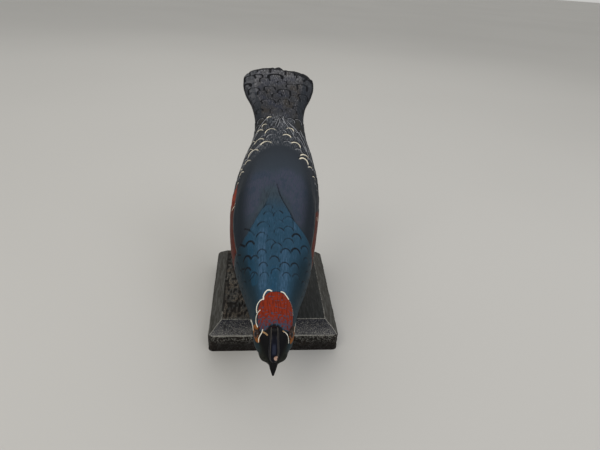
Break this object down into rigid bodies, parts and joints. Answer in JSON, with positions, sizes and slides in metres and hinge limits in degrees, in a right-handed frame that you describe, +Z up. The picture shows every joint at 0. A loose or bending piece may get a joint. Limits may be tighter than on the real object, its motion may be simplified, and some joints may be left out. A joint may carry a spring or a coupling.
{
  "type": "carved wooden quail on a plinth",
  "caption": "Carved and painted wooden quail leaning head down and tail up on a bevelled wooden plinth, an ornament that stands by its own weight.",
  "frame": {"origin": "middle of the plinth's flat underside, where the ornament stands on a shelf or table", "axes": "+Z up, -Y to the front where the bird's head is, +X across to its right as seen from the front"},
  "size_m": [0.117, 0.2305, 0.218],
  "materials": {
    "painted_wood": "satin paint, slate blue with red crown and cream feather edges",
    "stained_wood": "charcoal paint, dry-brushed silver on the edges"
  },
  "bodies": {
    "root": {"quail": "painted_wood", "plinth": "stained_wood"}
  },
  "joints": []
}
